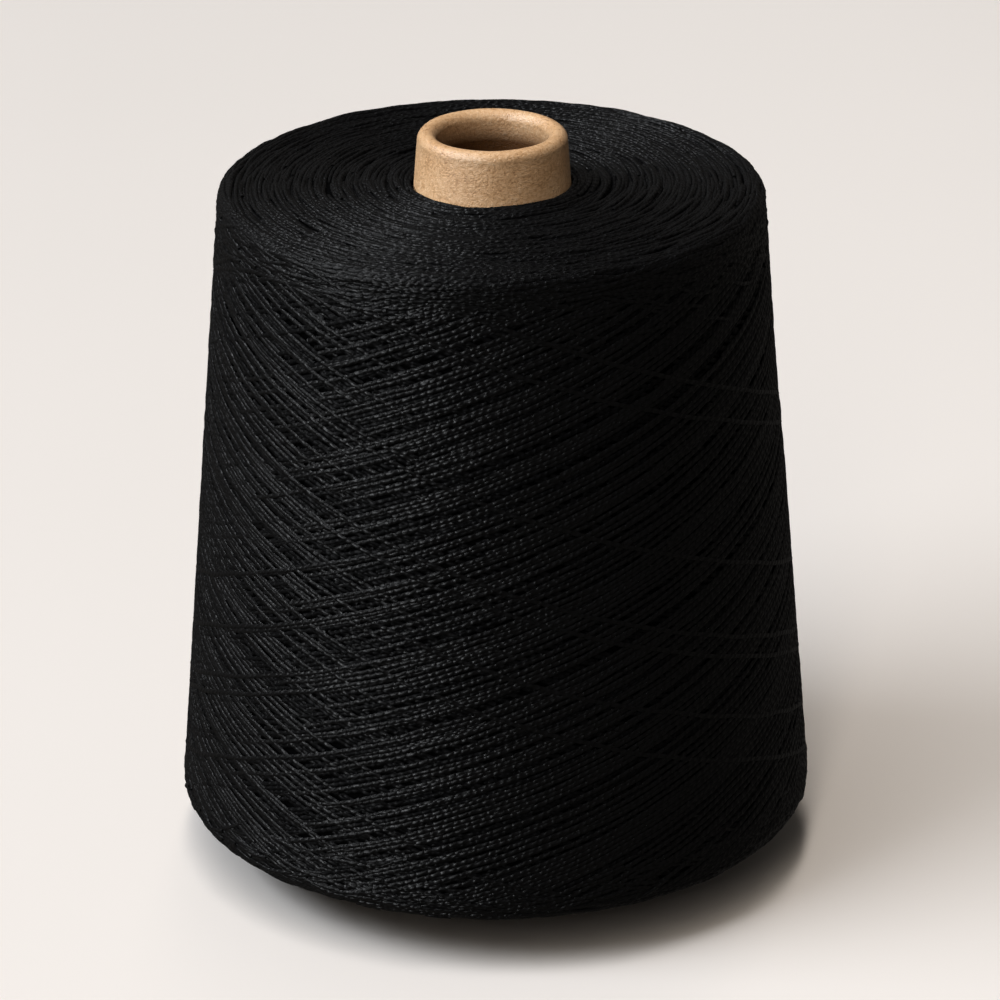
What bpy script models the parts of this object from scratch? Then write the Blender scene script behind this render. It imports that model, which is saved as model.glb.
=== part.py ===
"""A cone of yarn: a conical paper tube with a rolled nose, and black yarn cross-wound on it.

Metres, +Z up. The cone stands nose up on the tube's base ring, whose middle is the origin.
-Y is the front, and angles are counted anticlockwise from +X, seen from above.
"""

import math

import bmesh
import bpy
from mathutils import Vector

OBJECT_NAME = "yarn_cone"

# Paper tube: an industry 4 degree 20 minute cone, wide end down, its nose rolled in.
TUBE_LENGTH = 0.178
TUBE_NOSE_RADIUS = 0.0173  # outside, at the widest place of the rolled lip
TUBE_HALF_ANGLE = math.radians(4 + 20 / 60)
TUBE_WALL = 0.0030
LIP_RADIUS = 0.0022  # of the lip's round section, which is thicker than the wall
BASE_EDGE_RADIUS = 0.0004
TUBE_STEPS = 48

# Wound yarn: straight conical side between a round bottom edge and a tighter round shoulder.
BOTTOM_Z = 0.0123  # the tube stands this far out below
BOTTOM_EDGE_RADIUS = 0.0055
BOTTOM_FLAT_RADIUS = 0.0695  # where the bottom face turns up into its round edge
SHOULDER_Z = 0.1649
SHOULDER_RADIUS = 0.0030
SHOULDER_FLAT_RADIUS = 0.0600  # where the top face turns down into the shoulder
TOP_CROWN = 0.0012  # rise of the top face towards the tube
TOP_DISH_DEPTH = 0.0012  # dip of the turns beside the tube
TOP_DISH_WIDTH = 0.0060
BOTTOM_HOLLOW = 0.0010  # rise of the bottom face towards the tube
TUBE_GAP = 0.0003  # clearance between the yarn and the tube

# Low relief: the groups of turns that cross on the side, and the rings of turns on the end faces.
STROKE_TURNS = 1  # turns about the axis while the yarn goes once up or down the side
TURN_GROUPS = 15  # round the cone, in each direction
GROUP_RELIEF = 0.00042  # above and below the mean side
RELIEF_FADE = 0.05  # share of the side over which the groups flatten at either end
RING_PITCH = 0.0048
RING_RELIEF = 0.00025
WOUND_STEPS = 60  # four to a group, so that a vertex lies on each crest and in each gap
SIDE_ROWS = 60  # as many as the steps in a turn, so that the groups run along the mesh's diagonals

# Unevenness of the wound form.
LEAN_MIDDLE_Z = 0.058
LEAN_PER_METRE = 0.0026  # the side's axis leans this much to the left as it rises
WAIST_Z = 0.126  # middle of a slight hollow on the right
WAIST_HALF_HEIGHT = 0.034
WAIST_DEPTH = 0.00030

KRAFT_COLOUR = (0.50, 0.33, 0.19, 1.0)
YARN_COLOUR = (0.012, 0.012, 0.014, 1.0)
SMOOTH_BELOW = math.radians(40)


def clear_scene():
    for obj in list(bpy.data.objects):
        bpy.data.objects.remove(obj)


def new_collection(name):
    collection = bpy.data.collections.new(name)
    bpy.context.scene.collection.children.link(collection)
    return collection


def new_material(name, colour, roughness):
    material = bpy.data.materials.new(name)
    material.use_nodes = True
    shader = material.node_tree.nodes["Principled BSDF"]
    shader.inputs["Base Color"].default_value = colour
    shader.inputs["Roughness"].default_value = roughness
    shader.inputs["Metallic"].default_value = 0.0
    return material


def arc(centre, radius, start, end, steps):
    """Points (radius from the axis, height) of an arc, from one angle to another."""
    points = []
    for step in range(steps + 1):
        angle = start + (end - start) * step / steps
        points.append(centre + radius * Vector((math.cos(angle), math.sin(angle))))
    return points


def straight(start, end, rows):
    """The points strictly between two ends, which cut the stretch into equal rows."""
    return [start.lerp(end, row / rows) for row in range(1, rows)]


def common_tangent(low, low_radius, high, high_radius):
    """Angle of the outward normal of the straight line that touches both round edges."""
    apart = low - high
    return math.acos((high_radius - low_radius) / apart.length) + math.atan2(apart.y, apart.x)


def turned_mesh(name, profile, steps):
    """A mesh object of the closed profile, with the Screw modifier that turns it about Z.

    The profile runs down its outer side and back up its inner one.
    """
    mesh = bpy.data.meshes.new(name)
    edges = [(index, (index + 1) % len(profile)) for index in range(len(profile))]
    mesh.from_pydata([(point.x, 0.0, point.y) for point in profile], edges, [])
    obj = bpy.data.objects.new(name, mesh)
    screw = obj.modifiers.new("turn", "SCREW")
    screw.axis = "Z"
    screw.angle = 2 * math.pi
    screw.steps = steps
    screw.render_steps = steps
    screw.use_merge_vertices = True
    screw.merge_threshold = 0.00001
    screw.use_smooth_shade = True
    return obj


def apply_modifiers(obj):
    """Gives the object its evaluated mesh and drops the modifiers."""
    graph = bpy.context.evaluated_depsgraph_get()
    evaluated = bpy.data.meshes.new_from_object(obj.evaluated_get(graph))
    obj.modifiers.clear()
    obj.data = evaluated


# ---- Paper tube


def tube_outer_radius(height):
    """Radius of the tube's outside at a height below its lip."""
    lip_centre_radius = TUBE_NOSE_RADIUS - LIP_RADIUS
    lip_centre_height = TUBE_LENGTH - LIP_RADIUS
    at_lip_height = lip_centre_radius + LIP_RADIUS / math.cos(TUBE_HALF_ANGLE)
    return at_lip_height + (lip_centre_height - height) * math.tan(TUBE_HALF_ANGLE)


def tube_profile():
    slope = TUBE_HALF_ANGLE
    wall_across = TUBE_WALL / math.cos(slope)
    lip = Vector((TUBE_NOSE_RADIUS - LIP_RADIUS, TUBE_LENGTH - LIP_RADIUS))
    # The rolled lip's section ends where it meets the inside of the thinner wall.
    inward = math.pi + slope
    lip_end = inward + math.acos((TUBE_WALL - LIP_RADIUS) / LIP_RADIUS)
    edge = BASE_EDGE_RADIUS
    outer_edge = Vector((tube_outer_radius(0.0) - edge, edge))
    inner_edge = Vector((tube_outer_radius(0.0) - wall_across + edge, edge))
    return (
        arc(lip, LIP_RADIUS, math.radians(90), slope, 6)
        + arc(outer_edge, edge, slope, math.radians(-90), 2)
        + arc(inner_edge, edge, math.radians(-90), slope - math.pi, 2)
        + arc(lip, LIP_RADIUS, lip_end, math.radians(90), 11)[:-1]
    )


def make_paper_tube(collection):
    tube = turned_mesh("paper_tube", tube_profile(), TUBE_STEPS)
    tube.data.materials.append(new_material("kraft_paper", KRAFT_COLOUR, 0.75))
    collection.objects.link(tube)


# ---- Wound yarn


def ring_wave(radius):
    """Height of the rings of turns on an end face: up and down by turns."""
    return RING_RELIEF * math.cos(math.pi * round(radius / RING_PITCH))


def end_face_radii(inner, outer):
    """Radii of the rings between the tube and an end face's edge, from the inside out."""
    first = math.ceil((inner + RING_PITCH / 2) / RING_PITCH)
    last = math.floor((outer - RING_PITCH / 2) / RING_PITCH)
    return [ring * RING_PITCH for ring in range(first, last + 1)]


def top_height(radius):
    """Height of the top face: crowned towards the tube, and dished right beside it."""
    inner = tube_outer_radius(SHOULDER_Z) + TUBE_GAP
    inwards = (SHOULDER_FLAT_RADIUS - radius) / (SHOULDER_FLAT_RADIUS - inner)
    beside = max(0.0, 1 - (radius - inner) / TOP_DISH_WIDTH)
    return SHOULDER_Z + TOP_CROWN * inwards - TOP_DISH_DEPTH * beside**2


def bottom_height(radius):
    """Height of the bottom face, which is slightly hollow."""
    inner = tube_outer_radius(BOTTOM_Z) + TUBE_GAP
    inwards = (BOTTOM_FLAT_RADIUS - radius) / (BOTTOM_FLAT_RADIUS - inner)
    return BOTTOM_Z + BOTTOM_HOLLOW * inwards


def beside_tube(height_at):
    """The point of an end face that lies a gap away from the tube."""
    radius = tube_outer_radius(height_at(TUBE_NOSE_RADIUS)) + TUBE_GAP
    return Vector((tube_outer_radius(height_at(radius)) + TUBE_GAP, height_at(radius)))


def side_ends():
    """Where the straight side leaves the bottom edge and meets the shoulder, and its normal's angle."""
    low = Vector((BOTTOM_FLAT_RADIUS, BOTTOM_Z + BOTTOM_EDGE_RADIUS))
    high = Vector((SHOULDER_FLAT_RADIUS, SHOULDER_Z - SHOULDER_RADIUS))
    normal = common_tangent(low, BOTTOM_EDGE_RADIUS, high, SHOULDER_RADIUS)
    outwards = Vector((math.cos(normal), math.sin(normal)))
    return low + BOTTOM_EDGE_RADIUS * outwards, high + SHOULDER_RADIUS * outwards, normal


def wound_profile():
    low, high, normal = side_ends()
    shoulder = Vector((SHOULDER_FLAT_RADIUS, SHOULDER_Z - SHOULDER_RADIUS))
    bottom_edge = Vector((BOTTOM_FLAT_RADIUS, BOTTOM_Z + BOTTOM_EDGE_RADIUS))
    top_inner = beside_tube(top_height)
    bottom_inner = beside_tube(bottom_height)
    top_rings = end_face_radii(top_inner.x, SHOULDER_FLAT_RADIUS)
    bottom_rings = end_face_radii(bottom_inner.x, BOTTOM_FLAT_RADIUS)
    top = [Vector((radius, top_height(radius) + ring_wave(radius))) for radius in top_rings]
    bottom = [Vector((radius, bottom_height(radius) - ring_wave(radius))) for radius in bottom_rings]
    return (
        [top_inner]
        + top
        + arc(shoulder, SHOULDER_RADIUS, math.radians(90), normal, 3)
        + straight(high, low, SIDE_ROWS)
        + arc(bottom_edge, BOTTOM_EDGE_RADIUS, normal, math.radians(-90), 4)
        + bottom[::-1]
        + [bottom_inner]
    )


def turn_groups(angle, along):
    """Relief of the crossing groups, from -1 in a gap to 1 on a crest.

    along goes from 0 at the bottom of the side to 1 at its top.
    """
    climb = 2 * math.pi * STROKE_TURNS * along
    rising = math.cos(TURN_GROUPS * (angle - climb))
    falling = math.cos(TURN_GROUPS * (angle + climb))
    return max(rising, falling)


def unevenness(angle, height):
    """How far the side stands out from a true cone: a slight lean to the left, and a hollow on the right."""
    lean = -LEAN_PER_METRE * (height - LEAN_MIDDLE_Z) * math.cos(angle)
    from_waist = min(1.0, abs(height - WAIST_Z) / WAIST_HALF_HEIGHT)
    hollow = WAIST_DEPTH * (0.5 + 0.5 * math.cos(math.pi * from_waist)) * max(0.0, math.cos(angle))
    return lean - hollow


def raise_turns(mesh):
    """Moves the side's vertices out and in, and cuts each of its faces along its higher diagonal,
    so that the crests run unbroken in both directions."""
    low, high, _ = side_ends()
    bm = bmesh.new()
    bm.from_mesh(mesh)
    on_side = set()
    for vertex in bm.verts:
        radius = math.hypot(vertex.co.x, vertex.co.y)
        if radius < SHOULDER_FLAT_RADIUS - RING_PITCH / 2:
            continue
        angle = math.atan2(vertex.co.y, vertex.co.x)
        along = (vertex.co.z - low.y) / (high.y - low.y)
        fade = min(1.0, max(0.0, min(along, 1 - along)) / RELIEF_FADE)
        moved = unevenness(angle, vertex.co.z) + GROUP_RELIEF * fade * turn_groups(angle, along)
        vertex.co.x *= (radius + moved) / radius
        vertex.co.y *= (radius + moved) / radius
        if fade > 0:
            on_side.add(vertex)
    for face in list(bm.faces):
        if len(face.verts) != 4 or not on_side.issuperset(face.verts):
            continue
        a, b, c, d = (math.hypot(vertex.co.x, vertex.co.y) for vertex in face.verts)
        first = 0 if a + c > b + d else 1
        bmesh.utils.face_split(face, face.verts[first], face.verts[first + 2])
    bm.to_mesh(mesh)
    bm.free()
    mesh.shade_smooth()
    mesh.set_sharp_from_angle(angle=SMOOTH_BELOW)


def make_wound_yarn(collection):
    yarn = turned_mesh("wound_yarn", wound_profile(), WOUND_STEPS)
    collection.objects.link(yarn)
    apply_modifiers(yarn)
    raise_turns(yarn.data)
    yarn.data.materials.clear()
    yarn.data.materials.append(new_material("black_yarn", YARN_COLOUR, 0.85))


def main():
    clear_scene()
    collection = new_collection(OBJECT_NAME)
    make_paper_tube(collection)
    make_wound_yarn(collection)


main()
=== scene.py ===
"""Looks of the cone of yarn: black strands cross-wound on a kraft paper tube, on a pale floor.

Metres, in the frame of the solids: +Z up, the tube's base ring round the origin, -Y the front.
Angles round the cone are counted anticlockwise from +X, seen from above. A place on the winding is
such an angle and a length along the winding's profile, which is 0 where the top face ends.
"""

import math

import bpy
import numpy as np
from mathutils import Matrix, Vector


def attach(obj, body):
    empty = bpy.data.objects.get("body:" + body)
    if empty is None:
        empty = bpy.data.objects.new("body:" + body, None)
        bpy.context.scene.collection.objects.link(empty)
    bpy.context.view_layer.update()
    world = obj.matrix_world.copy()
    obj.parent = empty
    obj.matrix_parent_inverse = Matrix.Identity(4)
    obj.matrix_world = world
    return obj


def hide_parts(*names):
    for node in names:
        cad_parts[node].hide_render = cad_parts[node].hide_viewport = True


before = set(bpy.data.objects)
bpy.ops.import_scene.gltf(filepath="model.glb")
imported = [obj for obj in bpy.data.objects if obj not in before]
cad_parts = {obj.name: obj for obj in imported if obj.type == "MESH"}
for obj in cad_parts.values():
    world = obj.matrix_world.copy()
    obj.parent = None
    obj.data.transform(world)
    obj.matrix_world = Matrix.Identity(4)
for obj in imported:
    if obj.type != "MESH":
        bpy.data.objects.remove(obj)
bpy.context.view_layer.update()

# ---- Sizes of the solids, which the pieces here follow
TUBE_LENGTH = 0.178
TUBE_NOSE_RADIUS = 0.0173  # outside, at the widest place of the rolled lip
TUBE_HALF_ANGLE = math.radians(4 + 20 / 60)
TUBE_WALL = 0.0030
LIP_RADIUS = 0.0022
BASE_EDGE_RADIUS = 0.0004
TUBE_GAP = 0.0003  # between the tube and the winding
BOTTOM_Z = 0.0123
BOTTOM_EDGE_RADIUS = 0.0055
BOTTOM_FLAT_RADIUS = 0.0695
BOTTOM_HOLLOW = 0.0010
SHOULDER_Z = 0.1649
SHOULDER_RADIUS = 0.0030
SHOULDER_FLAT_RADIUS = 0.0600
TOP_CROWN = 0.0012
TOP_DISH_DEPTH = 0.0012
TOP_DISH_WIDTH = 0.0060
LEAN_MIDDLE_Z = 0.058
LEAN_PER_METRE = 0.0026
WAIST_Z = 0.126
WAIST_HALF_HEIGHT = 0.034
WAIST_DEPTH = 0.00030
ROUND_RADIUS = 0.040  # within it the winding is round
UNEVEN_FADE = 0.018  # of radius over which its lean and its waist set in
TURN_GROUPS = 15  # main groups of turns round the cone, in each direction

# ---- Strands
STRAND_HALF_WIDTH = 0.00059
STRAND_HALF_THICKNESS = 0.00036
SIDE_SECTION = (STRAND_HALF_WIDTH, 0.00027)  # half width and half thickness of its mesh on the side
ARC_SECTION = (0.00050, STRAND_HALF_THICKNESS)  # the same on the end faces, where strands are rounder
STRAND_SIDES = 4  # faces across the half of a strand that shows
STRAND_REACH = math.radians(100)  # how far round a strand its faces go, to either side of its top
LAY_STEP = 0.00025  # between two places of the path of a strand on the side
ARC_STEP = 0.0005  # the same on the arcs of the end faces
NODE_EVERY = 12  # steps of path between two rings of a strand's mesh
ARC_NODE_EVERY = 6  # the same on the arcs
UNDER_DEPTH = 0.0009  # of the dark layers, below the winding's surface; their darkness is painted shade
SEED = 20

# ---- Map of the heights of the pile of laid strands
CELL = 0.00025  # also the step between the points of a profile
PILE_COLUMNS = 1880  # round the cone
PILE_MARGIN = 0.002  # of the map past the side's two ends
FORM_CELLS = 4  # cells to a block, over which the pile's height is evened out
FORM_BLURS = 3
LEAST_COVER = 0.001  # keeps the empty blocks from a division by zero

# ---- Map of the twist, which repeats along a strand; each strand has one of its rows
TWIST_MAP_LENGTH = 0.0512
TWIST_MAP_ROWS = 42
ROW_REACH = 0.46  # of a strand to either side of its row's middle


def lerp(start, end, share):
    return start + (end - start) * share


# ---- Form of the winding


def tube_outer_radius(height):
    lip_centre_radius = TUBE_NOSE_RADIUS - LIP_RADIUS
    lip_centre_height = TUBE_LENGTH - LIP_RADIUS
    at_lip_height = lip_centre_radius + LIP_RADIUS / math.cos(TUBE_HALF_ANGLE)
    return at_lip_height + (lip_centre_height - height) * math.tan(TUBE_HALF_ANGLE)


def top_height(radius):
    inner = tube_outer_radius(SHOULDER_Z) + TUBE_GAP
    inwards = (SHOULDER_FLAT_RADIUS - radius) / (SHOULDER_FLAT_RADIUS - inner)
    beside = np.maximum(0.0, 1 - (radius - inner) / TOP_DISH_WIDTH)
    return SHOULDER_Z + TOP_CROWN * inwards - TOP_DISH_DEPTH * beside**2


def bottom_height(radius):
    inner = tube_outer_radius(BOTTOM_Z) + TUBE_GAP
    inwards = (BOTTOM_FLAT_RADIUS - radius) / (BOTTOM_FLAT_RADIUS - inner)
    return BOTTOM_Z + BOTTOM_HOLLOW * inwards


def arc_points(centre, radius, start, end):
    angles = np.linspace(start, end, max(2, int(abs(end - start) * radius / CELL)))
    return np.stack([centre[0] + radius * np.cos(angles), centre[1] + radius * np.sin(angles)], 1)


def side_and_edges():
    """The shoulder's arc, the straight side and the bottom edge's arc, as points of radius and height."""
    shoulder = np.array([SHOULDER_FLAT_RADIUS, SHOULDER_Z - SHOULDER_RADIUS])
    edge = np.array([BOTTOM_FLAT_RADIUS, BOTTOM_Z + BOTTOM_EDGE_RADIUS])
    apart = edge - shoulder
    turn = math.acos((SHOULDER_RADIUS - BOTTOM_EDGE_RADIUS) / math.hypot(*apart))
    normal = turn + math.atan2(apart[1], apart[0])
    shoulder_arc = arc_points(shoulder, SHOULDER_RADIUS, math.radians(90), normal)
    edge_arc = arc_points(edge, BOTTOM_EDGE_RADIUS, normal, math.radians(-90))
    rows = int(np.hypot(*(edge_arc[0] - shoulder_arc[-1])) / CELL)
    shares = np.linspace(0, 1, rows)[1:-1, None]
    side = shoulder_arc[-1] + shares * (edge_arc[0] - shoulder_arc[-1])
    return [shoulder_arc, side, edge_arc]


def wound_profile():
    """The winding's profile as a table: length along it, radius, height and outward normal.

    The length is 0 where the top face turns down into the shoulder. It is negative on the top face, and
    grows down the side and in along the bottom face, which starts at the second result.
    """
    top_radii = np.arange(tube_outer_radius(SHOULDER_Z) + TUBE_GAP, SHOULDER_FLAT_RADIUS, CELL)
    bottom_radii = np.arange(BOTTOM_FLAT_RADIUS, tube_outer_radius(BOTTOM_Z) + TUBE_GAP, -CELL)[1:]
    top = np.stack([top_radii, top_height(top_radii)], 1)
    bottom = np.stack([bottom_radii, bottom_height(bottom_radii)], 1)
    points = np.concatenate([top, *side_and_edges(), bottom])
    lengths = np.concatenate([[0.0], np.cumsum(np.hypot(*np.diff(points, axis=0).T))])
    along = np.gradient(points, lengths, axis=0)
    along /= np.hypot(*along.T)[:, None]
    start = lengths[len(top)]
    table = {
        "length": lengths - start,
        "radius": points[:, 0],
        "height": points[:, 1],
        "out": -along[:, 1],
        "up": along[:, 0],
    }
    return table, lengths[-len(bottom) - 1] - start


PROFILE, BOTTOM_START = wound_profile()
PILE_START = -PILE_MARGIN
PILE_ROWS = FORM_CELLS * int((BOTTOM_START + PILE_MARGIN - PILE_START) / CELL / FORM_CELLS)


def on_profile(column, length):
    return np.interp(length, PROFILE["length"], PROFILE[column])


def unevenness(angle, radius, height):
    """How far the side stands out from a true cone: it leans a little left and is hollow on the right."""
    lean = -LEAN_PER_METRE * (height - LEAN_MIDDLE_Z) * np.cos(angle)
    from_waist = np.minimum(1.0, np.abs(height - WAIST_Z) / WAIST_HALF_HEIGHT)
    waist = WAIST_DEPTH * (0.5 + 0.5 * np.cos(math.pi * from_waist)) * np.maximum(0.0, np.cos(angle))
    fade = np.clip((radius - ROUND_RADIUS) / UNEVEN_FADE, 0, 1)
    return (lean - waist) * fade


def on_winding(angle, length, height):
    """Points over the winding's surface, and the outward normals of the surface under them."""
    out = on_profile("out", length)
    up = on_profile("up", length)
    radius = on_profile("radius", length)
    level = on_profile("height", length)
    away = radius + height * out + unevenness(angle, radius, level)
    points = np.stack([away * np.cos(angle), away * np.sin(angle), level + height * up], -1)
    normals = np.stack([out * np.cos(angle), out * np.sin(angle), up], -1)
    return points, normals / np.linalg.norm(normals, axis=-1, keepdims=True)


# ---- Winding the side: each strand is laid, taut, on those before it

STROKE_TURNS = 1
PATH_PER_TURN = 1.06  # length of a strand's path in a turn, in girths of the bottom
TOP_REVERSAL = (0.0000, 0.0090)  # lengths along the profile between which strands turn at the top
BOTTOM_REVERSAL = (0.0005, 0.0055)  # the same at the bottom, measured back from the bottom face
REVERSAL_ROUNDING = 0.080  # share of a stroke over which a strand turns back
WOBBLES = 4  # waves in a strand's path
WOBBLE = 0.00012  # of the largest wave
LEAST_WOBBLE = 0.2  # of the smallest, as a share of it
WOBBLE_RANGE = (14, 60)  # half waves to a stroke
TAUT_RADIUS = 0.020  # of the curve in which a strand spans from one support to the next
ACROSS = np.array([-0.9, -0.6, -0.3, 0.0, 0.3, 0.6, 0.9]) * STRAND_HALF_WIDTH
BULGE = STRAND_HALF_THICKNESS * np.sqrt(1 - (ACROSS / STRAND_HALF_WIDTH) ** 2)
CROSSING_RISE = 0.00018  # of a strand's middle over the middle of one that it crosses and presses flat
MOST_PROUD = -0.00010  # of a strand's middle over the winding's surface
GROUND_STRANDS = 170  # double strokes under the ones that show most
GROUND_STEP = 0.6180339887  # of a turn between the starts of two of them, which spreads them evenly
GROUND_SCATTER = 1.0  # of the places at which they turn, and the lone ones, as a share of the widest
COVER_STRANDS = 108
COVER_PIECES = 2  # in which they are kept
COVER_SCATTER = 0.40  # of the places at which they turn
COVER_MIDDLE = math.radians(-32)  # where the rising ones lie on top; opposite, the falling ones do
COVER_BORDER = math.radians(15)  # scatter of the place where the two take turns
COVER_PLACE = math.radians(0.55)  # scatter of their starts
SHORTEST_STRETCH = 80  # steps of a covering stretch
GROUP_STRIDE = 4  # groups of turns from one laid to the next, so that neighbours don't follow each other
GROUP_PLACE = math.radians(3.5)  # scatter of their starts
MOST_IN_GROUP = 3
NEIGHBOUR_STEP = math.radians(3.4)  # between the strands of a group
NEIGHBOUR_RANGE = (0.8, 1.3)  # of that step
LONE_STRANDS = 7  # double strokes that lie on top all the way round
END_DIVE_LENGTH = 0.018
END_DIVE_DEPTH = 0.0007
LOOSE_DEPTH = 0.00024  # below this, later turns press the strands together
PRESSED_SHARE = 0.40  # of the depth that remains there
EDGE_SINK = 0.00030
EDGE_WIDTH = 0.012
SIGHT_MARGIN = 0.00001  # by which a strand may lie under others and still show


def rounded(share):
    """Distance from a turning point, in shares of a stroke, with the turn rounded."""
    turn = REVERSAL_ROUNDING
    near = share**2 / (2 * turn) + turn / 2
    return (np.where(share < turn, near, share) - turn / 2) / (1 - turn)


def turning_place(low, high, scatter, rng):
    return (low + high) / 2 + (high - low) / 2 * scatter * rng.uniform(-1, 1)


def double_stroke(start, scatter, rng):
    """Angle and length along the profile of one strand: up the side and down again."""
    turns = 2 * STROKE_TURNS
    samples = int(turns * math.tau * BOTTOM_FLAT_RADIUS * PATH_PER_TURN / LAY_STEP)
    phase = np.linspace(0, 2, samples)
    first_low = BOTTOM_START - turning_place(*BOTTOM_REVERSAL, scatter, rng)
    last_low = BOTTOM_START - turning_place(*BOTTOM_REVERSAL, scatter, rng)
    top = turning_place(*TOP_REVERSAL, scatter, rng)
    from_top = rounded(np.abs(phase - 1))
    from_low = rounded(np.minimum(phase, 2 - phase))
    below = np.where(phase < 1, first_low, last_low)
    nearer_top = np.abs(phase - 1) < 0.5
    share_down = np.where(nearer_top, from_top, 1 - from_low)
    length = lerp(top, below, share_down)
    for wave in rng.uniform(*WOBBLE_RANGE, WOBBLES):
        size = WOBBLE * rng.uniform(LEAST_WOBBLE, 1)
        length += size * np.sin(wave * math.pi * phase + rng.uniform(0, math.tau))
    angle = start + turns * math.pi * phase
    return angle, length


def hull_over(distance, level):
    """Indices of the upper concave hull of a row of points."""
    kept = []
    xs = distance.tolist()
    ys = level.tolist()
    for index, (x, y) in enumerate(zip(xs, ys)):
        while len(kept) > 1:
            x0, y0 = xs[kept[-2]], ys[kept[-2]]
            x1, y1 = xs[kept[-1]], ys[kept[-1]]
            if (y1 - y0) * (x - x0) > (y - y0) * (x1 - x0):
                break
            kept.pop()
        kept.append(index)
    return kept


def cells_under(angle, length, radius):
    """Rows and columns of the pile's map across a strand, at each place of its path."""
    along_angle = np.gradient(angle) * radius
    along_length = np.gradient(length)
    size = np.hypot(along_angle, along_length)
    side_angle = (-along_length / size / radius)[:, None] * ACROSS
    side_length = (along_angle / size)[:, None] * ACROSS
    turned = (angle[:, None] + side_angle) / math.tau
    columns = np.floor(turned * PILE_COLUMNS).astype(int) % PILE_COLUMNS
    rows = np.floor((length[:, None] + side_length - PILE_START) / CELL).astype(int)
    return np.clip(rows, 0, PILE_ROWS - 1), columns


def lay(pile, angle, length, end_dive=0.0):
    """Heights of a strand's middle as it comes to lie, taut, on the pile, which it is added to."""
    radius = on_profile("radius", length)
    rows, columns = cells_under(angle, length, radius)
    rise = CROSSING_RISE * BULGE / STRAND_HALF_THICKNESS - STRAND_HALF_THICKNESS
    support = (pile[rows, columns] + rise).max(axis=1)
    steps = np.hypot(np.diff(angle) * radius[1:], np.diff(length))
    distance = np.concatenate([[0.0], np.cumsum(steps)])
    distance -= distance[-1] / 2
    arched = distance**2 / (2 * TAUT_RADIUS)
    flattened = support - arched
    # every other place is close enough for the supports
    kept = hull_over(distance[::2], flattened[::2])
    held = np.interp(distance, distance[::2][kept], flattened[::2][kept]) + arched
    from_end = distance[-1] - np.abs(distance)
    held -= end_dive * np.clip(1 - from_end / END_DIVE_LENGTH, 0, 1) ** 2
    np.maximum.at(pile, (rows, columns), held[:, None] + BULGE)
    return held


def covering_stretches(angle, length, rng):
    """The stretches of a double stroke that lie on top: its rise on one side, its fall on the other."""
    rising = np.arange(len(angle)) < len(angle) // 2
    near = np.cos(angle - COVER_MIDDLE - rng.normal(0, COVER_BORDER)) > 0
    on_top = near == rising
    cuts = np.flatnonzero(np.diff(on_top)) + 1
    for part in np.split(np.arange(len(angle)), cuts):
        if on_top[part[0]] and len(part) > SHORTEST_STRETCH:
            yield angle[part], length[part]


def cover_starts(rng):
    """Where each covering double stroke leaves the bottom: evenly spread ones, then the main groups."""
    for strand in rng.permutation(COVER_STRANDS):
        yield math.tau * strand / COVER_STRANDS + rng.normal(0, COVER_PLACE)
    for group in range(TURN_GROUPS):
        place = group * GROUP_STRIDE % TURN_GROUPS
        middle = math.tau * place / TURN_GROUPS + rng.normal(0, GROUP_PLACE)
        for neighbour in range(rng.integers(1, MOST_IN_GROUP + 1)):
            yield middle + neighbour * NEIGHBOUR_STEP * rng.uniform(*NEIGHBOUR_RANGE)


def lay_all(pile, rng):
    """All strands of the side, from the ground up, with the heights at which they come to lie."""
    for strand in range(GROUND_STRANDS):
        start = math.tau * (strand * GROUND_STEP % 1)
        angle, length = double_stroke(start, GROUND_SCATTER, rng)
        yield angle, length, lay(pile, angle, length)
    for start in cover_starts(rng):
        stroke = double_stroke(start, COVER_SCATTER, rng)
        for angle, length in covering_stretches(*stroke, rng):
            yield angle, length, lay(pile, angle, length, END_DIVE_DEPTH)
    for _ in range(LONE_STRANDS):
        angle, length = double_stroke(rng.uniform(0, math.tau), GROUND_SCATTER, rng)
        yield angle, length, lay(pile, angle, length)


def blurred(grid):
    """A grid of rows and columns, blurred along both; the columns go round the cone."""
    for _ in range(FORM_BLURS):
        grid = (np.roll(grid, 1, axis=1) + 2 * grid + np.roll(grid, -1, axis=1)) / 4
        padded = np.pad(grid, ((1, 1), (0, 0)), mode="edge")
        grid = (padded[:-2] + 2 * grid + padded[2:]) / 4
    return grid


def pile_form(pile):
    """The pile's own rough form: the highest place of each block of cells, blurred."""
    across = PILE_COLUMNS // FORM_CELLS
    blocks = pile.reshape(PILE_ROWS // FORM_CELLS, FORM_CELLS, across, FORM_CELLS)
    highest = blocks.max(axis=(1, 3))
    covered = blurred((highest > 0).astype(float))
    return blurred(highest) / np.maximum(covered, LEAST_COVER)


def read_form(form, angle, length):
    """Heights of the rough form, between the middles of its blocks."""
    row = np.clip((length - PILE_START) / CELL / FORM_CELLS - 0.5, 0, form.shape[0] - 1.001)
    column = angle / math.tau * form.shape[1] - 0.5
    row_0, column_0 = np.floor(row).astype(int), np.floor(column).astype(int)
    down, across = row - row_0, column - column_0
    column_1 = (column_0 + 1) % form.shape[1]
    column_0 = column_0 % form.shape[1]
    upper = lerp(form[row_0, column_0], form[row_0, column_1], across)
    lower = lerp(form[row_0 + 1, column_0], form[row_0 + 1, column_1], across)
    return lerp(upper, lower, down)


def pressed(height):
    """Heights with the deep places of the pile pressed up and its proud ones down."""
    deep = (height + LOOSE_DEPTH) * PRESSED_SHARE - LOOSE_DEPTH
    return np.minimum(np.maximum(height, deep), MOST_PROUD)


def sunk_at_edges(length):
    """How much deeper the crossing strands lie near the two edges, where they turn back."""
    from_edge = np.minimum(length, BOTTOM_START - length)
    return EDGE_SINK * np.clip(1 - from_edge / EDGE_WIDTH, 0, 1)


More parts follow.
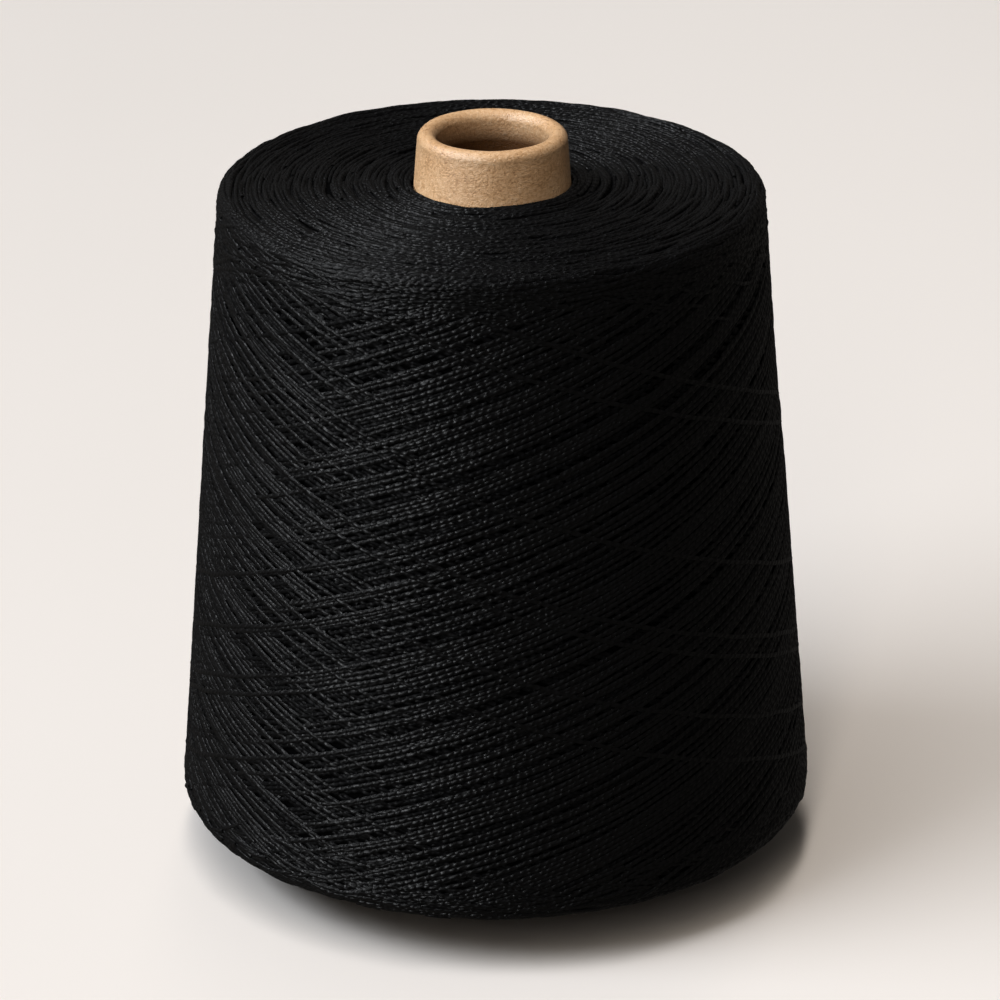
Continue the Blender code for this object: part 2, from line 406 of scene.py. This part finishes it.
def wind_side(rng):
    """The strands of the side, as rows of angle, length, height and whether each place shows."""
    pile = np.zeros((PILE_ROWS, PILE_COLUMNS))
    laid = list(lay_all(pile, rng))
    form = pile_form(pile)
    strands = []
    for angle, length, held in laid:
        rows, columns = cells_under(angle, length, on_profile("radius", length))
        bare = held[:, None] + BULGE > pile[rows, columns] - SIGHT_MARGIN
        shows = bare[:, 1:-1].sum(axis=1) > 1
        height = pressed(held - read_form(form, angle, length)) - sunk_at_edges(length)
        shows &= height > -UNDER_DEPTH
        strands.append((angle, length, height, shows))
    return strands


# ---- Arcs of strand on the end faces and over the two edges

ARC_BEND = 60.0  # per metre and unit of slope, of the drift across the turns
FACE_HEIGHT = -0.00042
FACE_SCATTER = 0.00024
FACE_SLOPE = 0.035
TUBE_SIDE_WIDTH = 0.0055  # of the innermost turns, which rise towards the tube and run round it
TUBE_SIDE_RISE = 0.0009
EDGE_SPREAD = 0.6  # of the arcs' places, as a share of how far their turns reach past the edge
EDGE_HEIGHT = -0.00025
EDGE_FALL = 0.0002  # of the height, at full reach
EDGE_SCATTER = 0.00018
EDGE_SLOPE = 0.06
EDGE_SLOPE_RISE = 0.2  # at full reach
EDGE_DIVE = 0.060
DEEP_ARC = -0.00056  # arcs that lie below this all along catch little light
TOP_INSET = 0.0006  # of the first arcs from the tube
TOP_ARCS = {"count": 3200, "half_lengths": (0.006, 0.014), "dive_radius": 0.070}
RIM_REACH = 0.012
RIM_ARCS = {"count": 1800, "half_lengths": (0.005, 0.011)}
BOTTOM_INSET = 0.0008
BOTTOM_ARCS = {"count": 1600, "half_lengths": (0.006, 0.012), "dive_radius": 0.045}
BOTTOM_REACH = 0.013
BOTTOM_EDGE_ARCS = {"count": 1900, "half_lengths": (0.004, 0.010)}


def short_arc(rng, length, half, slope, height, dive_radius):
    """A short stretch of strand round the winding, whose two ends dive under its neighbours."""
    steps = int(2 * half / ARC_STEP) + 1
    along = np.linspace(-half, half, steps)
    drift = rng.normal(0, slope) * along + rng.normal(0, ARC_BEND * slope) * along**2
    angle = rng.uniform(0, math.tau) + along / on_profile("radius", length)
    places = np.clip(length + drift, PROFILE["length"][0], PROFILE["length"][-1])
    return angle, places, height - along**2 / (2 * dive_radius), np.ones(steps, bool)


def face_arcs(rng, inner, outer, count, half_lengths, dive_radius):
    """Short arcs on an end face, each where a strand of a buried layer turned back."""
    low, high = sorted(on_profile("radius", [inner, outer]))
    for _ in range(count):
        share = (math.sqrt(lerp(low**2, high**2, rng.random())) - low) / (high - low)
        length = lerp(inner, outer, share)
        beside_tube = max(0.0, 1 - abs(length - inner) / TUBE_SIDE_WIDTH)
        height = FACE_HEIGHT + TUBE_SIDE_RISE * beside_tube + rng.normal(0, FACE_SCATTER)
        slope = FACE_SLOPE * (1 - beside_tube)
        yield short_arc(rng, length, rng.uniform(*half_lengths), slope, height, dive_radius)


def edge_arcs(rng, edge, reach, count, half_lengths):
    """Arcs that carry an end face's turns over its edge, ever fewer, deeper and steeper, onto the side."""
    for _ in range(count):
        share = abs(rng.normal(0, EDGE_SPREAD))
        height = EDGE_HEIGHT - EDGE_FALL * share + rng.normal(0, EDGE_SCATTER)
        slope = EDGE_SLOPE + EDGE_SLOPE_RISE * share
        yield short_arc(rng, edge + reach * share, rng.uniform(*half_lengths), slope, height, EDGE_DIVE)


def lies_deep(strand):
    _, _, height, _ = strand
    return height.max() < DEEP_ARC


# ---- Meshes of strands


def ring_offsets(section):
    half_width, half_thickness = section
    angles = np.linspace(-STRAND_REACH, STRAND_REACH, STRAND_SIDES + 1)
    return half_width * np.sin(angles), half_thickness * np.cos(angles)


def strand_rings(strand, every, section, rng):
    """Vertices and twist map places of a strand's rings, and which stretches between rings show."""
    angle, length, height, shows = strand
    nodes = np.arange(0, len(angle), every)
    points, normals = on_winding(angle, length, height)
    along = np.gradient(points, axis=0)
    along /= np.linalg.norm(along, axis=1)[:, None]
    side = np.cross(along, normals)
    steps = np.linalg.norm(np.diff(points, axis=0), axis=1)
    distance = np.concatenate([[0.0], np.cumsum(steps)])
    aside, up = ring_offsets(section)
    rings = (
        points[nodes, None, :]
        + side[nodes, None, :] * aside[None, :, None]
        + normals[nodes, None, :] * up[None, :, None]
    )
    places = np.empty((len(nodes), STRAND_SIDES + 1, 2))
    places[:, :, 0] = (distance[nodes] / TWIST_MAP_LENGTH + rng.random())[:, None]
    across = np.linspace(-ROW_REACH, ROW_REACH, STRAND_SIDES + 1)
    places[:, :, 1] = (rng.integers(TWIST_MAP_ROWS) + 0.5 + across) / TWIST_MAP_ROWS
    seen = np.add.reduceat(shows.astype(int), nodes)[:-1] > 1
    return rings, places, seen


def quads_mesh(name, vertices, places, faces):
    """A smooth mesh of four-sided faces, with the twist map place of each vertex."""
    mesh = bpy.data.meshes.new(name)
    mesh.vertices.add(len(vertices))
    mesh.vertices.foreach_set("co", vertices.astype(np.float32).ravel())
    mesh.loops.add(faces.size)
    mesh.loops.foreach_set("vertex_index", faces.astype(np.int32).ravel())
    mesh.polygons.add(len(faces))
    mesh.polygons.foreach_set("loop_start", np.arange(0, faces.size, 4, dtype=np.int32))
    mesh.update(calc_edges=True)
    layer = mesh.uv_layers.new(name="OFBake")
    layer.data.foreach_set("uv", places[faces.ravel()].astype(np.float32).ravel())
    mesh.shade_smooth()
    return mesh


def strands_mesh(name, strands, every, section, rng):
    """One mesh of many strands, each a row of half rings where it shows."""
    vertices, places, faces = [], [], []
    first = 0
    wide = STRAND_SIDES + 1
    for strand in strands:
        rings, ring_places, seen = strand_rings(strand, every, section, rng)
        used = np.zeros(len(rings), bool)
        used[:-1] |= seen
        used[1:] |= seen
        number = np.cumsum(used) - 1
        kept = np.nonzero(seen)[0]
        corner = first + number[kept, None] * wide + np.arange(STRAND_SIDES)
        quads = np.stack([corner, corner + wide, corner + wide + 1, corner + 1], -1)
        faces.append(quads.reshape(-1, 4))
        vertices.append(rings[used].reshape(-1, 3))
        places.append(ring_places[used].reshape(-1, 2))
        first += int(used.sum()) * wide
    return quads_mesh(name, np.concatenate(vertices), np.concatenate(places), np.concatenate(faces))


def add_piece(name, mesh, material):
    obj = bpy.data.objects.new(name, mesh)
    bpy.context.scene.collection.objects.link(obj)
    mesh.materials.append(material)
    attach(obj, "root")
    return obj


def add_strands(name, strands, every, section, material, rng):
    add_piece(name, strands_mesh(name, strands, every, section, rng), material)


# ---- Shader nodes


def new_tree(name):
    material = bpy.data.materials.new(name)
    material.use_nodes = True
    tree = material.node_tree
    return material, tree, tree.nodes["Principled BSDF"]


def fill_inputs(tree, node, values):
    """Set or link a node's inputs, in their order; None leaves one as it is."""
    for socket, value in zip(node.inputs, values):
        if isinstance(value, (int, float)):
            socket.default_value = value
        elif value is not None:
            tree.links.new(value, socket)


def math_node(tree, operation, first, second=None, third=None):
    node = tree.nodes.new("ShaderNodeMath")
    node.operation = operation
    fill_inputs(tree, node, (first, second, third))
    return node.outputs[0]


def times(tree, value, factor):
    return math_node(tree, "MULTIPLY", value, factor)


def times_plus(tree, value, factor, added):
    return math_node(tree, "MULTIPLY_ADD", value, factor, added)


def combined(tree, x, y):
    node = tree.nodes.new("ShaderNodeCombineXYZ")
    fill_inputs(tree, node, (x, y))
    return node.outputs[0]


def separated(tree, vector):
    node = tree.nodes.new("ShaderNodeSeparateXYZ")
    tree.links.new(vector, node.inputs["Vector"])
    return node.outputs["X"], node.outputs["Y"], node.outputs["Z"]


def object_place(tree):
    return tree.nodes.new("ShaderNodeTexCoord").outputs["Object"]


def noise(tree, place, scale, detail=2.0, roughness=0.5):
    node = tree.nodes.new("ShaderNodeTexNoise")
    node.inputs["Scale"].default_value = scale
    node.inputs["Detail"].default_value = detail
    node.inputs["Roughness"].default_value = roughness
    tree.links.new(place, node.inputs["Vector"])
    return node.outputs["Fac"]


def ramp(tree, value, stops):
    """A colour by a value, from stops of a position and a colour."""
    node = tree.nodes.new("ShaderNodeValToRGB")
    elements = node.color_ramp.elements
    while len(elements) < len(stops):
        elements.new(0.5)
    for element, (position, colour) in zip(elements, stops):
        element.position = position
        element.color = (*colour, 1.0)
    tree.links.new(value, node.inputs["Fac"])
    return node.outputs["Color"]


def map_range(tree, value, low, high, to_low, to_high):
    node = tree.nodes.new("ShaderNodeMapRange")
    for name, number in (("From Min", low), ("From Max", high), ("To Min", to_low), ("To Max", to_high)):
        node.inputs[name].default_value = number
    tree.links.new(value, node.inputs["Value"])
    return node.outputs["Result"]


def scaled(tree, colour, factor):
    node = tree.nodes.new("ShaderNodeVectorMath")
    node.operation = "SCALE"
    tree.links.new(colour, node.inputs[0])
    tree.links.new(factor, node.inputs["Scale"])
    return node.outputs[0]


def mixed(tree, factor, colour, other):
    """A linked colour, mixed by a linked factor with a plain one."""
    node = tree.nodes.new("ShaderNodeMix")
    node.data_type = "RGBA"
    tree.links.new(factor, node.inputs["Factor"])
    tree.links.new(colour, node.inputs["A"])
    node.inputs["B"].default_value = (*other, 1.0)
    return node.outputs["Result"]


def bump(tree, height, distance):
    node = tree.nodes.new("ShaderNodeBump")
    node.inputs["Distance"].default_value = distance
    node.inputs["Strength"].default_value = 1.0
    tree.links.new(height, node.inputs["Height"])
    return node.outputs["Normal"]


# ---- Yarn material: lengths along a strand are in mm here, and places across it in shares of its width

TWIST_LENGTH = 2.1  # of strand between two like places of its twist
PLY_SLANT = 0.8  # of the plies across a strand, in lengths of twist
PLY_DRIFT = 1.2  # of the twist along a strand, in lengths of twist
LUMP_SCALE = 0.45  # of the noise that makes a strand uneven
LUMP_SLANT = 0.7
LUMP_ROW_STEP = 7.0  # in the noise from one row of the twist map to the next
FIBRE_ACROSS = 2.2
FIBRE_ALONG = (1.1, -2.0)
FIBRE_ROW_STEP = 9.0
LUMP_HEIGHT = 0.6  # the heights are shares of the bump's
PLY_HEIGHT = 0.8
FIBRE_HEIGHT = 0.16
YARN_BUMP = 0.00016  # in metres
FIBRE_SHARE = 0.25  # of the fibres in a place's colour and gloss; the rest goes by its height, which paints shade into the grooves between the plies
# Black, a little blue, painted darker down in the grooves between the plies as painted shade.
YARN_COLOURS_AND_GROOVE_SHADE = ((0.38, (0.0002, 0.0002, 0.0003)), (0.88, (0.0019, 0.0019, 0.0023)))
GLOSS_RANGE = (0.44, 0.74)
YARN_FINISH = (0.54, 0.37, 0.44)  # roughness between the plies and on their crests, and specular level
DEEP_SHADED_FINISH = (0.70, 0.46, 0.20)  # the same of the strands that lie deep: rougher and less glossy, a shaded copy that stands in for the shade on them


def yarn_material(name, roughest, smoothest, specular):
    """Black twisted yarn: plies round each other, uneven, of fine fibres, on the strands' own map, with
    painted shade in the grooves between the plies.
    """
    material, tree, shader = new_tree(name)
    uv = tree.nodes.new("ShaderNodeUVMap")
    uv.uv_map = "OFBake"
    place_along, place_across, _ = separated(tree, uv.outputs["UV"])
    along = times(tree, math_node(tree, "FRACT", place_along), TWIST_MAP_LENGTH * 1000)
    row = times(tree, place_across, float(TWIST_MAP_ROWS))
    across = math_node(tree, "SUBTRACT", math_node(tree, "FRACT", row), 0.5)
    turned = times_plus(tree, along, 1 / TWIST_LENGTH, times(tree, across, PLY_SLANT))
    drift = noise(tree, combined(tree, along, row), LUMP_SCALE, 1.0)
    phase = times_plus(tree, drift, PLY_DRIFT, turned)
    ply = math_node(tree, "POWER", math_node(tree, "SINE", times(tree, phase, math.pi)), 2.0)
    slanted = times_plus(tree, across, LUMP_SLANT, along)
    lumps = noise(tree, combined(tree, slanted, times(tree, row, LUMP_ROW_STEP)), LUMP_SCALE, 1.0)
    fibre_place = combined(
        tree,
        times_plus(tree, across, FIBRE_ACROSS, times(tree, along, FIBRE_ALONG[0])),
        times_plus(tree, row, FIBRE_ROW_STEP, times(tree, along, FIBRE_ALONG[1])),
    )
    fibres = noise(tree, fibre_place, 1.0, 3.0, 0.6)
    shape = times_plus(tree, lumps, LUMP_HEIGHT, times(tree, ply, PLY_HEIGHT))
    height = times_plus(tree, fibres, FIBRE_HEIGHT, shape)
    tree.links.new(bump(tree, height, YARN_BUMP), shader.inputs["Normal"])
    lit = times_plus(tree, fibres, FIBRE_SHARE, times(tree, shape, 1 - FIBRE_SHARE))
    # painted shade: darker where the plies dip
    tree.links.new(ramp(tree, lit, YARN_COLOURS_AND_GROOVE_SHADE), shader.inputs["Base Color"])
    gloss = map_range(tree, lit, *GLOSS_RANGE, roughest, smoothest)
    tree.links.new(gloss, shader.inputs["Roughness"])
    shader.inputs["Specular IOR Level"].default_value = specular
    return material


DEPTH_GRAIN = 900.0
DEPTH_BUMP = 0.0003
# painted shade: the buried layers are kept dark, with little gloss
DEPTH_SHADE_COLOURS = ((0.3, (0.0006, 0.0006, 0.0007)), (0.7, (0.0014, 0.0014, 0.0016)))


def under_material():
    """The layers that show between the strands, made dark and almost without gloss: painted shade in the
    gaps.
    """
    material, tree, shader = new_tree("black_yarn_depth_shade")
    grain = noise(tree, object_place(tree), DEPTH_GRAIN, 3.0, 0.6)
    tree.links.new(ramp(tree, grain, DEPTH_SHADE_COLOURS), shader.inputs["Base Color"])
    tree.links.new(bump(tree, grain, DEPTH_BUMP), shader.inputs["Normal"])
    shader.inputs["Roughness"].default_value = 0.8
    shader.inputs["Specular IOR Level"].default_value = 0.05
    return material


# ---- Paper material

KRAFT_CLOUD = 130.0  # scale of the paper's cloudy shades
KRAFT_CLOUD_SHARE = 0.35
KRAFT_FIBRE = 1300.0
KRAFT_FINE = 2600.0
KRAFT_FINE_HEIGHT = 0.4
KRAFT_BUMP = 0.00016
KRAFT_COLOURS = ((0.28, (0.34, 0.172, 0.068)), (0.47, (0.67, 0.400, 0.200)), (0.70, (0.86, 0.590, 0.350)))
BORE_RADIUS = 0.0156  # half way through the wall, at the height of the rolled lip's middle
# Painted shade: the colour that the bore's wall takes with depth, in place of the shade deep in the bore.
BORE_SHADE_COLOUR = (0.090, 0.036, 0.009)
BORE_SHADE_FADE = (0.0004, 0.0050)  # below the lip's middle, between which the bore's wall is painted darker: painted shade deep in the bore
NOSE_FADE = (0.0018, -0.0010)  # the same, between which the nose's top is painted darker as painted shade, and its paper becomes burnished
# Painted shade: the nose's colour is darkened by this factor, against the strong light on its top.
NOSE_PAINTED_SHADE = 0.80
NOSE_BURNISH = 0.12  # of roughness, less on the nose


def place_on_tube(tree, place):
    """How far a place lies below the lip's middle, and whether it is on the bore's side of the wall."""
    x, y, z = separated(tree, place)
    across = math_node(tree, "POWER", x, 2.0)
    across = math_node(tree, "ADD", across, math_node(tree, "POWER", y, 2.0))
    radius = math_node(tree, "SQRT", across)
    below_lip = math_node(tree, "SUBTRACT", TUBE_LENGTH - LIP_RADIUS, z)
    wall_middle = times_plus(tree, below_lip, math.tan(TUBE_HALF_ANGLE), BORE_RADIUS)
    return below_lip, math_node(tree, "LESS_THAN", radius, wall_middle)


def kraft_material():
    """Kraft paper: pressed fibres and flecks, burnished on the rolled nose, with painted shade darkening
    the bore with depth and the nose's top.
    """
    material, tree, shader = new_tree("kraft_paper_fibres")
    place = object_place(tree)
    cloud = noise(tree, place, KRAFT_CLOUD, 3.0, 0.6)
    fibres = noise(tree, place, KRAFT_FIBRE, 3.0, 0.7)
    fine = noise(tree, place, KRAFT_FINE, 2.0, 0.6)
    shade = times_plus(tree, cloud, KRAFT_CLOUD_SHARE, times(tree, fibres, 1 - KRAFT_CLOUD_SHARE))
    colour = ramp(tree, shade, KRAFT_COLOURS)
    below_lip, inside = place_on_tube(tree, place)
    # painted shade down the bore, deeper below the lip
    bore_shade = times(tree, inside, map_range(tree, below_lip, *BORE_SHADE_FADE, 0.0, 1.0))
    on_nose = map_range(tree, below_lip, *NOSE_FADE, 0.0, 1.0)
    # painted shade on the nose's top
    shaded = scaled(tree, colour, times_plus(tree, on_nose, NOSE_PAINTED_SHADE - 1, 1.0))
    tree.links.new(mixed(tree, bore_shade, shaded, BORE_SHADE_COLOUR), shader.inputs["Base Color"])
    height = times_plus(tree, fine, KRAFT_FINE_HEIGHT, fibres)
    tree.links.new(bump(tree, height, KRAFT_BUMP), shader.inputs["Normal"])
    roughness = map_range(tree, fibres, 0.3, 0.7, 0.36, 0.56)
    roughness = times_plus(tree, on_nose, -NOSE_BURNISH, roughness)
    tree.links.new(roughness, shader.inputs["Roughness"])
    shader.inputs["Specular IOR Level"].default_value = 0.75
    return material


# ---- Pieces

UNDER_STEPS = 120  # round the cone
UNDER_ROWS = 130
TUBE_STEPS = 144  # round the tube
WALL_ROWS = 30
LIP_BLEND = 0.030  # of bore over which the wall thins from the lip's thickness to its own
PAPER_UNEVENNESS = 0.00006
WALL_TWIST = 260  # radians to a metre, by which one of the wall's waves winds round it
NOSE_DEPTH = 0.012  # of the tube's end, whose height is uneven too


def grid_mesh(name, points, closed=False):
    """A mesh of a grid of points, closed round its first direction, and if asked round its second."""
    steps, count, _ = points.shape
    mesh = bpy.data.meshes.new(name)
    faces = []
    for step in range(steps):
        here, after = step * count, (step + 1) % steps * count
        for row in range(count if closed else count - 1):
            below = (row + 1) % count
            faces.append((here + row, here + below, after + below, after + row))
    mesh.from_pydata(points.reshape(-1, 3).tolist(), [], faces)
    mesh.shade_smooth()
    return mesh


def make_under(material):
    lengths = np.linspace(PROFILE["length"][0], PROFILE["length"][-1], UNDER_ROWS)
    angles = np.arange(UNDER_STEPS) * math.tau / UNDER_STEPS
    grid_angle, grid_length = np.meshgrid(angles, lengths, indexing="ij")
    points, _ = on_winding(grid_angle, grid_length, np.full_like(grid_angle, -UNDER_DEPTH))
    under = add_piece("wound_under", grid_mesh("wound_under", points), material)
    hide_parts("wound_yarn")


def add_side(rng, yarn, shaded_deep_yarn):
    side = wind_side(rng)
    ground, cover = side[:GROUND_STRANDS], side[GROUND_STRANDS:]
    add_strands("wound_side_ground", ground, NODE_EVERY, SIDE_SECTION, shaded_deep_yarn, rng)
    for part in range(COVER_PIECES):
        strands = cover[part::COVER_PIECES]
        add_strands(f"wound_side_{part + 1}", strands, NODE_EVERY, SIDE_SECTION, yarn, rng)


def add_faces(rng, yarn, shaded_deep_yarn):
    """The turns on the two end faces and over their edges, with the deep ones as a piece of their own."""
    first, last = PROFILE["length"][[0, -1]]
    top = list(face_arcs(rng, first + TOP_INSET, 0.0, **TOP_ARCS))
    rim = list(edge_arcs(rng, 0.0, RIM_REACH, **RIM_ARCS))
    bottom = list(face_arcs(rng, last - BOTTOM_INSET, BOTTOM_START, **BOTTOM_ARCS))
    bottom += edge_arcs(rng, BOTTOM_START, -BOTTOM_REACH, **BOTTOM_EDGE_ARCS)
    for name, arcs in (("wound_top", top), ("wound_rim", rim), ("wound_bottom", bottom)):
        proud_arcs = [arc for arc in arcs if not lies_deep(arc)]
        add_strands(name, proud_arcs, ARC_NODE_EVERY, ARC_SECTION, yarn, rng)
    deep_arcs = [arc for arc in top + rim + bottom if lies_deep(arc)]
    add_strands("wound_turns_deep", deep_arcs, ARC_NODE_EVERY, ARC_SECTION, shaded_deep_yarn, rng)


def make_yarn():
    rng = np.random.default_rng(SEED)
    yarn = yarn_material("black_yarn_strands", *YARN_FINISH)
    # a shaded copy of the yarn, duller, for the strands that lie deep
    shaded_deep_yarn = yarn_material("black_yarn_deep_shaded", *DEEP_SHADED_FINISH)
    make_under(under_material())
    add_side(rng, yarn, shaded_deep_yarn)
    add_faces(rng, yarn, shaded_deep_yarn)


def tube_profile():
    """The tube's closed profile, down its outside and up its inside, with rows enough to make it uneven."""
    slope = TUBE_HALF_ANGLE
    wall_across = TUBE_WALL / math.cos(slope)
    lip = (TUBE_NOSE_RADIUS - LIP_RADIUS, TUBE_LENGTH - LIP_RADIUS)
    edge = BASE_EDGE_RADIUS
    outer_edge = (tube_outer_radius(0.0) - edge, edge)
    inner_edge = (tube_outer_radius(0.0) - wall_across + edge, edge)
    outer_lip = arc_points(lip, LIP_RADIUS, math.radians(90), slope)
    outer_foot = arc_points(outer_edge, edge, slope, math.radians(-90))
    inner_foot = arc_points(inner_edge, edge, math.radians(-90), slope - math.pi)
    inner_lip = arc_points(lip, LIP_RADIUS, math.pi + slope, math.radians(90))[:-1]
    steps = np.linspace(0, 1, WALL_ROWS + 1)[1:-1, None] ** 2
    outer_wall = lerp(outer_lip[-1], outer_foot[0], steps)
    heights = lerp(inner_lip[0, 1], inner_foot[-1, 1], steps[::-1, 0])
    from_lip = np.clip((inner_lip[0, 1] - heights) / LIP_BLEND, 0, 1)
    thickness = lerp(2 * LIP_RADIUS, TUBE_WALL, from_lip**2 * (3 - 2 * from_lip))
    inner_wall = np.stack([tube_outer_radius(heights) - thickness / math.cos(slope), heights], 1)
    return np.concatenate([outer_lip, outer_wall, outer_foot, inner_foot, inner_wall, inner_lip])


def uneven_tube(radius, height, angles):
    """The tube's profile turned round, with the slight waves that wound and rolled paper has."""
    wave = 0.5 * np.sin(3 * angles + 1.0)
    wave = wave + 0.3 * np.sin(5 * angles + WALL_TWIST * height)
    wave = wave + 0.2 * np.sin(11 * angles)
    dip = 0.6 + 0.6 * np.sin(2 * angles + 0.5) + 0.4 * np.sin(7 * angles)
    near_nose = np.clip((height - TUBE_LENGTH + NOSE_DEPTH) / NOSE_DEPTH, 0, 1)
    away = radius + PAPER_UNEVENNESS * wave
    level = height - PAPER_UNEVENNESS * near_nose * dip
    return np.stack([away * np.cos(angles), away * np.sin(angles), level], -1)


def make_tube():
    angles = (np.arange(TUBE_STEPS) * math.tau / TUBE_STEPS)[:, None]
    radius, height = tube_profile().T
    mesh = grid_mesh("tube_paper", uneven_tube(radius, height, angles), closed=True)
    tube = add_piece("tube_paper", mesh, kraft_material())
    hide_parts("paper_tube")
    tube.visible_glossy = False  # or the yarn mirrors it in brown spots
    return tube


# ---- Stage

CAMERA_TARGET = Vector((0.00138, 0.0, 0.0860))
CAMERA_DISTANCE = 1.179
CAMERA_ELEVATION = 23.09
CAMERA_ROLL = math.radians(-0.28)
LENS = 180.0
SENSOR = 36.0
LIGHT_TARGET = Vector((0, 0, 0.09))
FLOOR_HALF = 5.0
FLOOR_COLOURS = ((0.3, (0.800, 0.762, 0.722)), (0.7, (0.820, 0.782, 0.742)))
FLOOR_PAINTED_LIGHT = (0.985, 1.035)  # of the floor's colour from left to right: painted light, brighter to the right, which evens out the lamps' fall-off
FLOOR_PAINTED_LIGHT_REACH = 0.14  # to either side, between which it goes from one to the other
WORLD_COLOUR = (1.0, 0.93, 0.86, 1.0)
WORLD_STRENGTH = 0.06

# name: azimuth, elevation, distance, width, height, power, colour
LIGHTS = {
    "key": (-70, 42, 4.0, 2.96, 1.20, 98.5, (0.880, 0.932, 1.0)),
    "high_left": (-61, 68, 3.5, 1.75, 3.08, 57.0, (0.93, 0.95, 1.0)),
    "overhead_strip": (-10, 70, 3.0, 0.42, 6.24, 60.5, (1.0, 0.905, 0.81)),
    "low_sheen": (-57, 13, 4.0, 0.9, 1.4, 54.0, (0.94, 0.97, 1.0)),
    "high_sheen": (-108, 52, 4.0, 1.2, 2.2, 50.0, (0.93, 0.96, 1.0)),
    "tube_left": (-85, 40, 4.0, 1.4, 1.4, 70.0, (0.93, 0.96, 1.0)),
    "tube_glint": (-44, 35, 3.5, 1.0, 1.0, 48.0, (1.0, 1.0, 1.0)),
}
SOFT_LIGHTS = ("key", "high_left", "overhead_strip")  # these aren't mirrored
SHEEN_LIGHTS = ("low_sheen", "high_sheen", "tube_glint")  # these are only mirrored
TUBE_LIGHTS = ("tube_left", "tube_glint")  # these fall on the tube alone


def direction(azimuth, elevation):
    """Unit vector towards a place seen from the object: azimuth 0 is the camera's side, 90 the right."""
    azimuth = math.radians(azimuth)
    elevation = math.radians(elevation)
    level = math.cos(elevation)
    return Vector((math.sin(azimuth) * level, -math.cos(azimuth) * level, math.sin(elevation)))


def facing(place, target):
    return (target - place).to_track_quat("-Z", "Y")


def add_camera():
    data = bpy.data.cameras.new("camera")
    data.lens = LENS
    data.sensor_width = SENSOR
    data.clip_end = 30
    camera = bpy.data.objects.new("camera", data)
    bpy.context.scene.collection.objects.link(camera)
    place = CAMERA_TARGET + CAMERA_DISTANCE * direction(0, CAMERA_ELEVATION)
    look = facing(place, CAMERA_TARGET).to_matrix() @ Matrix.Rotation(CAMERA_ROLL, 3, "Z")
    camera.location = place
    camera.rotation_euler = look.to_euler()
    bpy.context.scene.camera = camera


def add_softbox(name, azimuth, elevation, distance, width, height, power, colour):
    data = bpy.data.lights.new(name, "AREA")
    data.shape = "RECTANGLE"
    data.size = width
    data.size_y = height
    data.energy = power
    data.color = colour
    light = bpy.data.objects.new(name, data)
    bpy.context.scene.collection.objects.link(light)
    light.location = LIGHT_TARGET + distance * direction(azimuth, elevation)
    light.rotation_euler = facing(light.location, LIGHT_TARGET).to_euler()
    return light


def light_only(light, obj):
    """Let a light fall on one object alone."""
    receivers = bpy.data.collections.new(light.name + "_receivers")
    receivers.objects.link(obj)
    light.light_linking.receiver_collection = receivers


def add_lights(tube):
    lights = {name: add_softbox(name, *row) for name, row in LIGHTS.items()}
    for name in SOFT_LIGHTS:
        lights[name].visible_glossy = False
    for name in SHEEN_LIGHTS:
        lights[name].visible_diffuse = False
    for name in TUBE_LIGHTS:
        light_only(lights[name], tube)


def floor_material():
    material, tree, shader = new_tree("pale_floor")
    place = object_place(tree)
    colour = ramp(tree, noise(tree, place, 2.0, 2.0), FLOOR_COLOURS)
    x, _, _ = separated(tree, place)
    # painted light: the floor grows brighter to the right, evening out the lamps' fall-off
    shade = map_range(tree, x, -FLOOR_PAINTED_LIGHT_REACH, FLOOR_PAINTED_LIGHT_REACH, *FLOOR_PAINTED_LIGHT)
    tree.links.new(scaled(tree, colour, shade), shader.inputs["Base Color"])
    shader.inputs["Roughness"].default_value = 0.9
    shader.inputs["Specular IOR Level"].default_value = 0.1
    return material


def add_floor():
    """A pale floor, with painted light that grows towards the right, which throws no light back on the cone
    and isn't mirrored in it.
    """
    half = FLOOR_HALF
    corners = [(-half, -half, 0), (half, -half, 0), (half, half, 0), (-half, half, 0)]
    mesh = bpy.data.meshes.new("floor")
    mesh.from_pydata(corners, [], [(0, 1, 2, 3)])
    mesh.materials.append(floor_material())
    floor = bpy.data.objects.new("floor", mesh)
    bpy.context.scene.collection.objects.link(floor)
    floor.visible_diffuse = False
    floor.visible_glossy = False


def add_world():
    world = bpy.data.worlds.new("studio")
    world.use_nodes = True
    background = world.node_tree.nodes["Background"]
    background.inputs["Color"].default_value = WORLD_COLOUR
    background.inputs["Strength"].default_value = WORLD_STRENGTH
    bpy.context.scene.world = world


def make_stage(tube):
    add_camera()
    add_floor()
    add_world()
    add_lights(tube)
    settings = bpy.context.scene.view_settings
    settings.view_transform = "Standard"
    settings.look = "None"


def main():
    tube = make_tube()
    make_yarn()
    make_stage(tube)


main()
